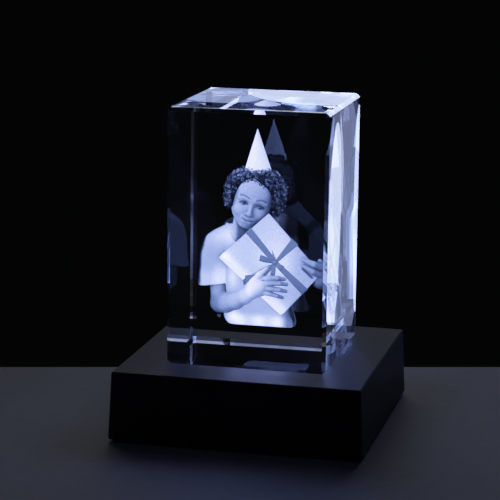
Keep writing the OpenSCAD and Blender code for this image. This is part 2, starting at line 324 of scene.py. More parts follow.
glass = crystal_mesh()
put(glass, polished, ground)
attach(glass, "crystal")
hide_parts("crystal_block")


# ------------------------------------------------------------------ engraving
# The picture is a shallow relief of fine points. It is worked out in millimetres from the
# middle of the block's underside: x to the right, y away from the viewer, z up.

rng = np.random.default_rng(7)


def vec(*a):
    return np.array(a, float)


def smin(a, b, k):
    if k <= 0:
        return np.minimum(a, b)
    h = np.clip(0.5 + 0.5 * (b - a) / k, 0, 1)
    return b + (a - b) * h - k * h * (1 - h)


def smax(a, b, k):
    return -smin(-a, -b, k)


def smooth(lo, hi, x):
    t = np.clip((x - lo) / (hi - lo), 0, 1)
    return t * t * (3 - 2 * t)


class Field:
    """Signed distances on a regular grid."""

    FAR = 4.0

    def __init__(self, lo, hi, h):
        self.lo, self.h = vec(*lo), h
        self.n = np.ceil((vec(*hi) - self.lo) / h).astype(int) + 1
        self.d = np.full(self.n, self.FAR, np.float32)
        self.ax = [(self.lo[i] + h * np.arange(self.n[i])).astype(np.float32) for i in range(3)]

    def window(self, lo, hi):
        a = np.clip(np.floor((np.array(lo) - self.lo) / self.h).astype(int), 0, self.n)
        b = np.clip(np.ceil((np.array(hi) - self.lo) / self.h).astype(int) + 1, 0, self.n)
        if np.any(b <= a):
            return None
        s = tuple(slice(int(p), int(q)) for p, q in zip(a, b))
        return s, self.ax[0][s[0]][:, None, None], self.ax[1][s[1]][None, :, None], self.ax[2][s[2]][None, None, :]

    def apply(self, shapes, margin):
        for op, f, lo, hi, k in shapes:
            w = self.window(np.array(lo) - margin - k, np.array(hi) + margin + k)
            if w is None:
                continue
            s, x, y, z = w
            new = f(x, y, z).astype(np.float32)
            self.d[s] = smin(self.d[s], new, k) if op == "add" else smax(self.d[s], -new if op == "cut" else new, k)
        return self

    def at(self, p):
        q = (p - self.lo) / self.h
        q = np.clip(q, 0, self.n - 1.001)
        i = q.astype(int)
        t = q - i
        out = 0
        for c in range(8):
            o = np.array([(c >> k) & 1 for k in range(3)])
            w = np.prod(np.where(o, t, 1 - t), axis=1)
            j = i + o
            out = out + w * self.d[j[:, 0], j[:, 1], j[:, 2]]
        return out

    def slope(self, p, e=None):
        e = e or self.h * 0.7
        g = np.stack([self.at(p + e * u) - self.at(p - e * u) for u in np.eye(3)], 1)
        return g / (2 * e)

    def surface(self):
        """Closed quad mesh of the zero level, one vertex to each cell that it crosses."""
        d = self.d
        d[0], d[-1] = 1, 1
        d[:, 0], d[:, -1] = 1, 1
        d[:, :, 0], d[:, :, -1] = 1, 1
        s = d < 0
        acc = np.zeros([m - 1 for m in d.shape], np.int8)
        corner = [np.array([(c >> k) & 1 for k in range(3)]) for c in range(8)]
        for o in corner:
            acc += s[o[0]:o[0] + acc.shape[0], o[1]:o[1] + acc.shape[1], o[2]:o[2] + acc.shape[2]]
        act = (acc > 0) & (acc < 8)
        idx = np.full(act.shape, -1, np.int64)
        ijk = np.stack(np.nonzero(act), 1)
        idx[act] = np.arange(len(ijk))
        pos, cnt = np.zeros((len(ijk), 3)), np.zeros(len(ijk))
        for a in range(8):
            for k in range(3):
                b = a | (1 << k)
                if b == a:
                    continue
                ia, ib = ijk + corner[a], ijk + corner[b]
                va, vb = d[tuple(ia.T)], d[tuple(ib.T)]
                m = (va < 0) != (vb < 0)
                t = np.zeros(len(ijk))
                t[m] = va[m] / (va[m] - vb[m])
                pos[m] += (corner[a] + t[:, None] * (corner[b] - corner[a]))[m]
                cnt[m] += 1
        v = self.lo + self.h * (pos / cnt[:, None] + ijk)
        quads = []
        for ax in range(3):
            u, w = (ax + 1) % 3, (ax + 2) % 3
            lo_s, hi_s = [slice(1, -1)] * 3, [slice(1, -1)] * 3
            lo_s[ax], hi_s[ax] = slice(0, -1), slice(1, None)
            a, b = s[tuple(lo_s)], s[tuple(hi_s)]
            at = np.stack(np.nonzero(a != b), 1)
            inside = a[tuple(at.T)]
            base = at + 1
            base[:, ax] -= 1
            ring = []
            for du, dw in ((-1, -1), (0, -1), (0, 0), (-1, 0)):
                c = base.copy()
                c[:, u] += du
                c[:, w] += dw
                ring.append(idx[tuple(c.T)])
            q = np.stack(ring, 1)
            q[~inside] = q[~inside][:, ::-1]
            quads.append(q)
        return v, np.concatenate(quads)

    def settle(self, v, steps=2):
        for _ in range(steps):
            g = self.slope(v)
            move = (self.at(v) / np.maximum((g * g).sum(1), 0.05))[:, None] * g
            v = v - np.clip(move, -0.4 * self.h, 0.4 * self.h)
        return v


# ---- shapes: (op, function, low corner, high corner, blend)

def ball(c, r, k=0.0, axes=None, op="add"):
    """Ellipsoid; axes holds its own directions as rows."""
    c, r = vec(*c), np.broadcast_to(np.array(r, float), 3)
    m = np.eye(3) if axes is None else np.array(axes)

    def f(x, y, z):
        x, y, z = x - c[0], y - c[1], z - c[2]
        u, v, w = (m[i][0] * x + m[i][1] * y + m[i][2] * z for i in range(3))
        k0 = np.sqrt((u / r[0]) ** 2 + (v / r[1]) ** 2 + (w / r[2]) ** 2)
        k1 = np.sqrt((u / r[0] ** 2) ** 2 + (v / r[1] ** 2) ** 2 + (w / r[2] ** 2) ** 2)
        return k0 * (k0 - 1) / np.maximum(k1, 1e-5)

    e = np.sqrt(((m * r[:, None]) ** 2).sum(0))
    return op, f, c - e, c + e, k


def limb(a, b, ra, rb, k=0.0, op="add"):
    a, b = vec(*a), vec(*b)
    ab = b - a
    l2 = ab @ ab

    def f(x, y, z):
        x, y, z = x - a[0], y - a[1], z - a[2]
        t = np.clip((x * ab[0] + y * ab[1] + z * ab[2]) / l2, 0, 1)
        return np.sqrt((x - t * ab[0]) ** 2 + (y - t * ab[1]) ** 2 + (z - t * ab[2]) ** 2) - (ra + (rb - ra) * t)

    r = max(ra, rb)
    return op, f, np.minimum(a, b) - r, np.maximum(a, b) + r, k


def chain(points, radii, k, op="add"):
    return [limb(points[i], points[i + 1], radii[i], radii[i + 1], k, op) for i in range(len(points) - 1)]


def brick(c, size, axes, round_by, k=0.0, lean=(0.0, 0.0)):
    """Box; lean moves its depth sideways and upwards, for each unit towards the back."""
    c, half, m = vec(*c), np.array(size, float) / 2 - round_by, np.array(axes)
    front = -size[1] / 2

    def f(x, y, z):
        x, y, z = x - c[0], y - c[1], z - c[2]
        x, z = x - lean[0] * (y - front), z - lean[1] * (y - front)
        q = [np.abs(m[i][0] * x + m[i][1] * y + m[i][2] * z) - half[i] for i in range(3)]
        out = np.sqrt(sum(np.maximum(v, 0) ** 2 for v in q))
        return out + np.minimum(np.maximum(q[0], np.maximum(q[1], q[2])), 0) - round_by

    e = (np.abs(m) * (half + round_by)[:, None]).sum(0)
    far = vec(lean[0], 0, lean[1]) * size[1]
    return "add", f, c - e + np.minimum(far, 0), c + e + np.maximum(far, 0), k


def ring(c, normal, major, minor, k=0.0):
    c, n = vec(*c), vec(*normal) / np.linalg.norm(normal)

    def f(x, y, z):
        x, y, z = x - c[0], y - c[1], z - c[2]
        h = x * n[0] + y * n[1] + z * n[2]
        rho = np.sqrt(np.maximum(x * x + y * y + z * z - h * h, 0))
        return np.sqrt((rho - major) ** 2 + h * h) - minor

    e = major + minor
    return "add", f, c - e, c + e, k


def loft(table, power, k=0.0, wave=None, end=1.6):
    """Stack of ovals. table rows: height, low x, high x, middle y, half depth. The power may change with height."""
    t = np.array(table, float)

    def f(x, y, z):
        zz = np.clip(z, t[0, 0], t[-1, 0])
        lo, hi, cy, b = (np.interp(zz.ravel(), t[:, 0], t[:, i]).reshape(zz.shape) for i in range(1, 5))
        cx, a = (lo + hi) / 2, (hi - lo) / 2
        p = power(zz) if callable(power) else power
        rho = (np.abs((x - cx) / a) ** p + np.abs((y - cy) / b) ** p) ** (1 / p)
        d = (rho - 1) * np.minimum(a, b)
        d = smax(d, np.maximum(t[0, 0] - z, z - t[-1, 0]), end)
        return d + (wave(x, y, z) if wave else 0)

    lo = vec(t[:, 1].min(), (t[:, 3] - t[:, 4]).min(), t[0, 0])
    hi = vec(t[:, 2].max(), (t[:, 3] + t[:, 4]).max(), t[-1, 0])
    return "add", f, lo, hi, k


def solid(shapes, k):
    """Several shapes worked into one, which then blends as a whole."""
    def f(x, y, z):
        d = None
        for op, g, lo, hi, kk in shapes:
            v = g(x, y, z)
            d = v if d is None else smin(d, v, kk) if op == "add" else smax(d, -v if op == "cut" else v, kk)
        return d

    adds = [g for g in shapes if g[0] == "add"]
    return "add", f, np.min([g[2] for g in adds], 0), np.max([g[3] for g in adds], 0), k


def spline(rows, n=60):
    """Smooth table through rows, even steps of its first column."""
    r = np.array(rows, float)
    t = np.linspace(r[0, 0], r[-1, 0], n)
    x = r[:, 0]
    out = [t]
    for i in range(1, r.shape[1]):
        y = r[:, i]
        m = np.gradient(y, x)
        j = np.clip(np.searchsorted(x, t) - 1, 0, len(x) - 2)
        h = x[j + 1] - x[j]
        s = (t - x[j]) / h
        out.append((1 + 2 * s) * (1 - s) ** 2 * y[j] + s * (1 - s) ** 2 * h * m[j] + s * s * (3 - 2 * s) * y[j + 1] + s * s * (s - 1) * h * m[j + 1])
    return np.stack(out, 1)


# ---- head: own axes, u across, v up, w towards the viewer, leaning to the viewer's right

HEAD = vec(-2.5, 4.6, 48.9)


def head_axes(roll, yaw, pitch):
    u, v, w = vec(1, 0, 0), vec(0, 0, 1), vec(0, -1, 0)
    w, u = math.cos(yaw) * w + math.sin(yaw) * u, math.cos(yaw) * u - math.sin(yaw) * w
    w, v = math.cos(pitch) * w - math.sin(pitch) * v, math.cos(pitch) * v + math.sin(pitch) * w
    c, s = math.cos(roll), math.sin(roll)
    turn = np.array([[c, 0, s], [0, 1, 0], [-s, 0, c]])
    return np.array([turn @ u, turn @ v, turn @ w])


HAX = head_axes(math.radians(15), math.radians(6), math.radians(5))
FLAT = 0.74                             # the relief is shallower than life


def to_head(p):
    q = (p - HEAD) @ HAX.T
    q[:, 2] /= FLAT
    return q


def hp(u, v, w):
    return HEAD + HAX.T @ vec(u, v, w * FLAT)


def hball(c, r, k=0.0, op="add"):
    return ball(hp(*c), (r[0], r[1], r[2] * FLAT), k, HAX, op)


def hlimb(a, b, ra, rb, k=0.0, op="add"):
    return limb(hp(*a), hp(*b), ra, rb, k, op)


def both(maker, *args, **kw):
    """A shape and its mirror image across the head."""
    flip = [tuple([-a[0], *a[1:]]) if isinstance(a, tuple) and i < kw.get("points", 1) else a for i, a in enumerate(args)]
    kw = {k: v for k, v in kw.items() if k != "points"}
    return [maker(*args, **kw), maker(*flip, **kw)]


LID = [(-1.3, -0.36), (-0.8, 0.2), (0.0, 0.42), (0.75, 0.24), (1.3, -0.26)]
MOUTH = [(-2.0, -5.02, 4.95), (-1.0, -5.3, 5.85), (0.0, -5.42, 6.15), (1.0, -5.3, 5.85), (2.0, -5.02, 4.95)]
EYE_U, EYE_V = 2.62, -0.2

head_shapes = [
    hball((0, 2.2, -0.6), (6.7, 6.9, 6.0)),
    hball((0, -2.2, 0.6), (5.75, 6.3, 5.0), 1.5),
    hball((0, 3.4, 2.4), (4.9, 3.4, 3.0), 1.5),
    *both(hlimb, (4.5, -3.4, -0.4), (1.3, -7.0, 2.3), 1.5, 1.3, 1.4, points=2),
    hball((0, -7.15, 2.9), (1.9, 1.25, 1.7), 1.2),
    *both(hball, (3.2, -2.9, 3.5), (1.9, 1.7, 1.6), 1.2),
    *both(hlimb, (0.9, 1.25, 5.2), (4.2, 0.95, 3.9), 0.62, 0.5, 1.0, points=2),
    *both(hball, (EYE_U, -0.3, 6.1), (1.75, 0.95, 1.35), 0.8, op="cut"),
    *both(hball, (EYE_U, EYE_V - 0.05, 3.75), (1.5, 1.35, 1.6), 0.12),
    hlimb((0, 0.8, 5.3), (0, -2.6, 6.8), 0.46, 0.66, 0.9),
    hball((0, -3.05, 6.85), (0.92, 0.8, 0.85), 0.45),
    *both(hball, (0.95, -3.3, 5.95), (0.58, 0.55, 0.65), 0.35),
    *both(hball, (0.48, -3.8, 6.55), (0.3, 0.2, 0.4), 0.15, op="cut"),
    hball((0, -5.3, 4.55), (2.4, 1.75, 1.4), 1.0),
    *both(hlimb, (0.32, -4.98, 5.95), (1.8, -5.0, 5.05), 0.34, 0.14, 0.3, points=2),
    hlimb((-0.9, -5.82, 5.6), (0.9, -5.82, 5.6), 0.4, 0.4, 0.45),
    *both(hlimb, (0.9, -5.8, 5.6), (1.65, -5.34, 5.1), 0.36, 0.15, 0.35, points=2),
    *[hlimb(a, b, 0.12, 0.12, 0.12, "cut") for a, b in zip(MOUTH, MOUTH[1:])],
    *both(hball, (6.5, -1.2, -0.9), (0.85, 2.0, 1.5), 0.4),
    *both(hball, (6.95, -0.9, -0.1), (0.4, 1.0, 0.8), 0.3, op="cut"),
]
for side in (-1, 1):
    for (a0, a1), (b0, b1) in zip(LID, LID[1:]):
        def lid(u, v):
            return (side * EYE_U + u, EYE_V + v, 3.75 + 1.6 * math.sqrt(max(0.05, 1 - (u / 1.62) ** 2 - (v / 1.5) ** 2)) + 0.12)
        head_shapes.append(hlimb(lid(a0, a1), lid(b0, b1), 0.17, 0.17, 0.14))
neck_shapes = [limb((-4.2, 6.7, 45.2), (-6.5, 7.6, 37.6), 3.3, 4.3, 0.8), limb((-8.0, 5.6, 43.0), (-5.6, 4.2, 38.2), 0.5, 0.45, 1.4)]


# ---- hair: a dark mass with curls all over it, open at the face

HAIR_C, HAIR_R, HAIR_P = vec(-2.0, 5.7, 51.0), vec(9.3, 5.9, 8.2), 2.5


def lump(c, r, power, k=0.0, axes=None, op="add"):
    """Rounded block: an ellipsoid with fuller corners; axes holds its own directions as rows."""
    m = np.eye(3) if axes is None else np.array(axes)

    def f(x, y, z):
        x, y, z = x - c[0], y - c[1], z - c[2]
        q = sum(np.abs((m[i][0] * x + m[i][1] * y + m[i][2] * z) / r[i]) ** power for i in range(3))
        return (q ** (1 / power) - 1) * min(r)

    e = (np.abs(m) * np.array(r)[:, None]).sum(0)
    return op, f, c - e, c + e, k


HAT_FOOT, HAT_TIP, HAT_R = vec(-1.45, 6.9, 58.5), vec(-1.74, 7.1, 71.35), 4.05


def hat_roll(a):
    """Middle of the roll of hair that covers the hat's foot at the back."""
    return HAT_FOOT + vec(4.4 * math.cos(a), 4.4 * math.sin(a), 0.8)


hair_base = [lump(HAIR_C + vec(0, 0.5, 0), HAIR_R * 0.95, HAIR_P), *chain([hat_roll(math.radians(a)) for a in range(45, 136, 15)], [0.85] * 7, 0.6),
             lump(hp(0, -1.7, 3.6), vec(6.0, 8.3, 7.0 * FLAT), 2.7, 0.4, HAX, "cut"), hball((0, -9.9, 0), (12, 6.2, 14), 0.8, op="cut")]


def curl_roots():
    """Where the curls sit, which way each one faces, and how far each is from the face."""
    golden = math.pi * (3 - math.sqrt(5))
    out = []
    for layer, (grow, count, apart) in enumerate(((1.0, 2500, 0.56), (0.95, 1400, 0.56), (1.05, 420, 0.7))):
        kept, k = np.zeros((count, 3)), 0
        for i in range(count):
            z = 1 - 2 * (i + 0.5) / count
            r = math.sqrt(1 - z * z)
            a = golden * i + layer
            d = vec(r * math.cos(a), r * math.sin(a), z)
            d = d / (np.abs(d) ** HAIR_P).sum() ** (1 / HAIR_P)
            p = HAIR_C + HAIR_R * d * (grow + rng.normal(0, 0.02)) + rng.normal(0, 0.15, 3)
            n = np.sign(d) * np.abs(d) ** (HAIR_P - 1) / HAIR_R
            n = n / np.linalg.norm(n)
            q = to_head(p[None])[0]
            face = (abs(q[0] / 6.3) ** 2.8 + abs((q[1] + 1.7) / 8.6) ** 2.8) ** (1 / 2.8) if q[2] > -1.5 else 2.0
            if face < 1.0 + rng.normal(0, 0.02):
                continue
            if q[1] < -3.9 + rng.normal(0, 0.5):
                continue
            s = (p[2] - HAT_FOOT[2]) / (HAT_TIP[2] - HAT_FOOT[2])
            if s > -0.03 and math.hypot(p[0] - HAT_FOOT[0], p[1] - HAT_FOOT[1]) < HAT_R * (1 - s) - (0.5 if p[1] < HAT_FOOT[1] else 0.1):
                continue
            if p[2] > (60.3 if p[1] < HAT_FOOT[1] else 59.9):
                continue
            if k and ((kept[:k] - p) ** 2).sum(1).min() < apart ** 2:
                continue
            kept[k] = p
            k += 1
            out.append((p, n, layer, face))
    for i in range(90):
        a, t = math.radians(rng.uniform(42, 138)), rng.uniform(-0.6, 2.2)
        n = vec(math.cos(a) * math.cos(t), math.sin(a) * math.cos(t), math.sin(t))
        out.append((hat_roll(a) + 0.85 * n, n, 0, 2.0))
    for i in range(80):
        a = math.radians(rng.uniform(192, 348))
        n = vec(math.cos(a), math.sin(a), 0.3)
        r = HAT_R + rng.uniform(0.05, 0.45)
        out.append((HAT_FOOT + vec(r * n[0], r * n[1], rng.uniform(-1.0, 0.35)), n / np.linalg.norm(n), 0, 2.0))
    return out


curl_at = curl_roots()


# ---- shirt

def shirt_wave(x, y, z):
    front = smooth(8.5, 4.5, y)
    low = smooth(24, 15, z) * smooth(10.4, 13.5, z)
    folds = 0.12 * np.sin(1.15 * x + 0.12 * z + 0.8) * low + 0.1 * np.sin(0.62 * x - 0.35 * z) * smooth(38, 26, z) * smooth(11, 15, z)
    crease = 0.42 * np.exp(-((x + 5.9 + 0.04 * (z - 14)) / 0.4) ** 2) * smooth(18.5, 16.5, z) * smooth(12.0, 13.4, z)
    pull = 0.13 * np.sin(1.6 * (0.5 * x + 0.86 * z)) * np.exp(-(((x + 12) / 5) ** 2 + ((z - 31) / 5.5) ** 2))
    return front * (folds + crease + pull)


torso = loft(spline([
    (9.6, -10.0, 10.9, 7.4, 4.6), (10.4, -10.8, 10.9, 7.4, 4.7), (12.4, -11.9, 10.5, 7.4, 4.8), (14.5, -12.3, 9.7, 7.5, 4.8), (18, -12.6, 9.2, 7.5, 4.8),
    (22, -12.8, 9.4, 7.6, 4.7), (28.5, -12.8, 10.2, 7.7, 4.7), (32, -13.6, 10.4, 7.8, 4.6), (35, -15.6, 10.0, 7.9, 4.2), (37.4, -16.6, 8.4, 7.9, 3.7),
    (38.8, -15.4, 6.6, 7.6, 3.0), (39.9, -13.4, 4.6, 7.0, 2.2), (40.9, -11.4, 2.6, 6.5, 1.5), (41.4, -9.8, 0.4, 6.2, 1.1)], 90), lambda z: 3 + 3 * smooth(17, 11.5, z), 0.0, shirt_wave, 0.2)


def sleeve_wave(x, y, z):
    return 0.08 * np.sin(1.5 * x + 0.5 * z + 0.6) * smooth(33, 25, z) + 0.1 * np.sin(0.9 * (x * 0.6 + z)) * smooth(22, 27, z)


sleeve = loft(spline([
    (20.6, -20.2, -9.9, 5.2, 3.7), (24, -19.9, -9.9, 5.3, 3.5), (29, -19.5, -10.5, 5.6, 3.4), (33, -19.2, -11.0, 6.2, 3.4),
    (35.4, -18.6, -11.0, 6.8, 3.3), (37.2, -17.4, -11.2, 7.2, 2.9), (38.6, -15.8, -11.4, 7.5, 2.3)]), 2.6, 1.0, sleeve_wave)


def half_space(n, c, k=0.0):
    """Keeps what lies behind the plane through c with outward normal n."""
    n = vec(*n) / np.linalg.norm(n)
    c = vec(*c)
    return "meet", lambda x, y, z: n[0] * (x - c[0]) + n[1] * (y - c[1]) + n[2] * (z - c[2]), vec(-40, -40, -10), vec(40, 40, 90), k


sleeve_shapes = [sleeve, half_space((0.146, 0, -1), (-15.7, 5, 21.9), 0.3), ball((-15.4, 5.0, 20.6), (3.7, 2.9, 1.9), 0.3, op="cut")]
neckline = [(-11.2, 6.6, 41.2), (-10.2, 5.4, 40.2), (-8.6, 4.4, 39.0), (-6.6, 3.9, 38.1), (-4.2, 3.8, 37.7), (-1.5, 4.0, 37.9), (0.8, 4.8, 38.9)]
shirt_shapes = [torso, solid(sleeve_shapes, 0.7), *chain(neckline, [0.34] * 7, 0.35)]


# ---- arms and hands

arm_shapes = [
    *chain([(-13.7, 5.0, 26), (-13.4, 4.7, 21.5), (-12.75, 3.2, 16.3)], [2.4, 2.5, 2.75], 0.8),
    *chain([(-12.7, 3.0, 16.0), (-10.4, 1.7, 16.6), (-7.0, -0.2, 17.7), (-3.8, -2.0, 19.6), (-1.6, -2.7, 21.2)], [2.8, 3.05, 2.65, 2.3, 2.15], 0.9),
]
hd = vec(0.9, 0, 0.43)
hand_ax = np.array([hd / np.linalg.norm(hd), (0, 1, 0), (-hd[2] / np.linalg.norm(hd), 0, hd[0] / np.linalg.norm(hd))])
near_hand = [
    ball((1.3, -3.2, 23.5), (4.3, 1.5, 3.3), 1.3, hand_ax),
    limb((-1.4, -2.8, 21.5), (1.8, -3.3, 23.6), 1.9, 2.0, 1.3),
    *chain([(2.4, -3.6, 25.7), (4.8, -4.3, 26.3), (7.1, -4.3, 26.5), (9.0, -2.9, 26.0)], [1.0, 0.9, 0.76, 0.58], 0.25),
    *chain([(2.8, -3.7, 24.4), (5.3, -4.5, 24.8), (7.8, -4.4, 24.9), (9.7, -2.9, 24.4)], [1.0, 0.9, 0.76, 0.58], 0.18),
    *chain([(2.9, -3.7, 23.0), (5.3, -4.4, 23.0), (7.7, -4.3, 22.8), (9.5, -2.8, 22.2)], [0.96, 0.86, 0.74, 0.56], 0.18),
    *chain([(2.6, -3.5, 21.6), (4.8, -4.0, 21.3), (6.9, -3.9, 20.8), (8.4, -2.6, 20.1)], [0.9, 0.78, 0.66, 0.52], 0.18),
    *chain([(-0.4, -3.0, 24.6), (1.3, -3.8, 27.0), (3.5, -3.2, 29.1)], [1.3, 1.05, 0.7], 0.7),
]
far_hand = [
    ball((20.0, 0.8, 26.4), (2.2, 1.9, 3.4), 0.8),
    *chain([(19.7, 0.8, 25.0), (19.0, 2.4, 24.8), (17.4, 4.6, 25.6)], [1.7, 1.7, 1.6], 0.8),
    *chain([(20.9, 0.4, 29.6), (18.2, -1.9, 31.0), (14.8, -1.9, 32.3)], [1.25, 1.05, 0.72], 0.25),
    *chain([(20.6, 0.3, 27.2), (17.9, -2.1, 28.8), (14.9, -1.95, 30.4)], [1.25, 1.02, 0.7], 0.15),
    *chain([(20.6, 1.4, 30.6), (19.6, 0.6, 31.8)], [1.0, 0.75], 0.3),
]
limb_shapes = arm_shapes + near_hand
far_shapes = far_hand


# ---- gift, wrapped and tied

CORNERS = [vec(-11.6, 0, 32.2), vec(3.6, 0, 46.3), vec(20.4, 0, 28.3), vec(8.6, 0, 14.8)]
GIFT_Y, GIFT_D = 1.1, 4.4
LEAN = (-0.38, -0.36)                   # the gift is held a little askew, so its lower left side shows


def prism(corners, mid, depth, lean, round_by):
    """Box over four corners of its front, which leans sideways and upwards towards the back."""
    front = mid - depth / 2
    sides = []
    for a, b in zip(corners, corners[1:] + corners[:1]):
        n = vec(-(b - a)[2], 0, (b - a)[0])
        n /= np.linalg.norm(n)
        sides.append((n, n @ a))

    def f(x, y, z):
        xs, zs = x - lean[0] * (y - front), z - lean[1] * (y - front)
        d = np.abs(y - mid) - depth / 2
        for n, c in sides:
            d = smax(d, n[0] * xs + n[2] * zs - c, round_by)
        return d

    all_of = np.array([c + vec(lean[0], 0, lean[1]) * t + vec(0, front + t, 0) for c in corners for t in (0, depth)])
    return "add", f, all_of.min(0), all_of.max(0), 0.0


gift_shapes = [prism(CORNERS, GIFT_Y, GIFT_D, LEAN, 0.25)]


def on_edge(i, j, t):
    """A point along one edge of the gift's front."""
    return CORNERS[i] + (CORNERS[j] - CORNERS[i]) * t


hat_shapes = [limb(HAT_FOOT + vec(0, 0, 3), HAT_TIP, 3.0, 0.05)]

# ---- everything together on a coarse grid, for the shade that the picture carries

everything = Field((-26, -9, 2), (26, 16, 76), 0.4)
for group in (head_shapes + neck_shapes, hair_base, shirt_shapes, limb_shapes, far_shapes, gift_shapes, hat_shapes):
    lo = np.min([g[2] for g in group if g[0] == "add"], 0) - 4
    hi = np.max([g[3] for g in group if g[0] == "add"], 0) + 4
    part = Field(np.maximum(lo, everything.lo), np.minimum(hi, (26, 16, 76)), 0.4)
    part.lo = everything.lo + np.round((part.lo - everything.lo) / 0.4) * 0.4
    part.ax = [(part.lo[i] + 0.4 * np.arange(part.n[i])).astype(np.float32) for i in range(3)]
    part.apply(group, 3.6)
    i0 = np.round((part.lo - everything.lo) / 0.4).astype(int)
    i1 = np.minimum(i0 + part.n, everything.n)
    s = tuple(slice(int(a), int(b)) for a, b in zip(i0, i1))
    t = tuple(slice(0, int(b - a)) for a, b in zip(i0, i1))
    everything.d[s] = np.minimum(everything.d[s], part.d[t])

LAMP = vec(-0.45, -0.6, 0.66) / np.linalg.norm((-0.45, -0.6, 0.66))


def shade(p, n, crease=0.78, flat=0.0):
    """Soft studio shading of the picture: key, fill, crevices and cast shade. A plain front comes out near 1."""
    key = np.clip(n @ LAMP, 0, 1)
    fill = np.clip(-n[:, 1], 0, 1)
    hollow = np.zeros(len(p))
    for i, t in enumerate((0.4, 0.9, 1.6, 2.6)):
        hollow += (t - everything.at(p + n * t)) / t * (0.42, 0.3, 0.2, 0.14)[i]
    hollow = np.clip(1 - 0.95 * np.clip(hollow, 0, 1), 0, 1)
    cast = np.ones(len(p))
    for t in np.arange(0.7, 7.5, 0.5):
        cast = np.minimum(cast, 0.5 + 2.6 * everything.at(p + n * 0.3 + LAMP * t) / t)
    cast = np.clip(cast, 0, 1)
    lit = 0.1 + 0.86 * key * (0.4 + 0.6 * cast) + 0.38 * fill
    return (lit * (1 - flat) + flat * smooth(0.0, 0.5, fill)) * (1 - crease + crease * hollow)


def relax(val, faces, times):
    """Evens out values over a mesh of quads."""
    q = np.asarray(faces)
    a, b = q.T.ravel(), np.roll(q, -1, 1).T.ravel()
    deg = np.bincount(a, minlength=len(val)) + np.bincount(b, minlength=len(val))
    for _ in range(times):
        near = np.bincount(a, val[b], len(val)) + np.bincount(b, val[a], len(val))
        val = 0.4 * val + 0.6 * near / np.maximum(deg, 1)
    return val


def engraving_material(name):
    """Fine points whose glow is painted light, standing in for the lamp light that they scatter: bluest where they are
    sparse, near white where they crowd.
    """
    m = Mat(name)
    tone = m.add("ShaderNodeAttribute", attribute_name="tone").outputs["Fac"]
    pale = m.add("ShaderNodeAttribute", attribute_name="pale").outputs["Fac"]
    grain = m.add("ShaderNodeTexVoronoi", feature="F1")
    grain.inputs["Scale"].default_value = 5200.0
    m.join(m.coords(), grain.inputs["Vector"])
    dot = m.remap(grain.outputs["Distance"], 0.25, 0.75, 1.16, 0.72)
    # painted glow: the points emit light rather than being lit by the lamp below
    e = m.add("ShaderNodeEmission")
    cool = m.ramp(pale, [
        (0.0, (0.22, 0.35, 1.0)), (0.1, (0.25, 0.37, 1.0)), (0.3, (0.31, 0.385, 1.0)), (0.5, (0.38, 0.43, 1.0)), (0.7, (0.55, 0.6, 1.0)), (1.0, (0.8, 0.85, 1.0))])
    m.join(cool, e.inputs["Color"])
    m.join(m.math("MULTIPLY", tone, dot), e.inputs["Strength"])
    m.join(e.outputs[0], m.out.inputs["Surface"])
    return m


engraved = engraving_material("engraved_points")
DEEP = 1.15                             # depth of the finished relief


def engrave(name, v, faces, n, albedo, light=None, rear=0.5, rear_pale=0.08):
    """Puts a relief piece into the block, with the tones of its points, which glow as painted light.
    The side that the front doesn't show gets a painted glow of its own, stronger on what faces up or to the right."""
    tone = albedo * (shade(v, n) if light is None else light)
    away = smooth(-0.1, 0.14, n[:, 1] - 0.15 * np.clip(n[:, 2], 0, 1))
    # painted glow of the hidden side, stronger where it faces up or to the right
    glow = rear * (1 + 0.6 * np.clip(n[:, 2], 0, 1) + 0.4 * np.clip(n[:, 0], 0, 1))
    pale = np.clip(0.2 * tone * (1 - away) + rear_pale * away, 0, 1)
    tone = np.clip(1.06 * tone * (1 - away) + away * glow, 0.0, 5.0)
    world = v.copy()
    world[:, 1] = 3 + DEEP * (v[:, 1] - 3)
    world = world * MM + np.array([0, 0, TOP_Z])
    me = bpy.data.meshes.new(name)
    me.from_pydata(world.tolist(), [], faces.tolist() if hasattr(faces, "tolist") else faces)
    me.update()
    me.polygons.foreach_set("use_smooth", [True] * len(me.polygons))
    for key, val in (("tone", tone), ("pale", pale)):
        me.attributes.new(key, "FLOAT", "POINT").data.foreach_set("value", val.astype(np.float32))
    o = link(bpy.data.objects.new(name, me))
    put(o, engraved)
    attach(o, "crystal")
    return o


def sculpt(name, shapes, h, albedo, margin=1.0, even=2, crease=0.78, flat=0.0, rear=0.5, rear_pale=0.08):
    lo = np.min([s[2] for s in shapes if s[0] == "add"], 0) - 1.2
    hi = np.max([s[3] for s in shapes if s[0] == "add"], 0) + 1.2
    f = Field(lo, hi, h).apply(shapes, margin)
    v, q = f.surface()
    v = f.settle(v)
    g = f.slope(v)
    n = g / np.maximum(np.linalg.norm(g, axis=1, keepdims=True), 1e-6)
    tone = albedo(v, n) if callable(albedo) else np.full(len(v), albedo)
    back = rear(v, n) if callable(rear) else rear
    return engrave(name, v, q, n, tone, relax(shade(v, n, crease, flat), q, even), back, rear_pale(v) if callable(rear_pale) else rear_pale)


def spot(x, z, cx, cz, rx, rz):
    """Soft round patch."""
    return np.exp(-((x - cx) / rx) ** 2 - ((z - cz) / rz) ** 2)


def gap_to(points, q):
    """Distance in u and v from each q to an open line of points."""
    best = np.full(len(q), 9.0)
    for a, b in zip(points, points[1:]):
        a, b = np.array(a[:2]), np.array(b[:2])
        t = np.clip(((q[:, :2] - a) @ (b - a)) / ((b - a) @ (b - a)), 0, 1)
        best = np.minimum(best, np.linalg.norm(q[:, :2] - a - t[:, None] * (b - a), axis=1))
    return best


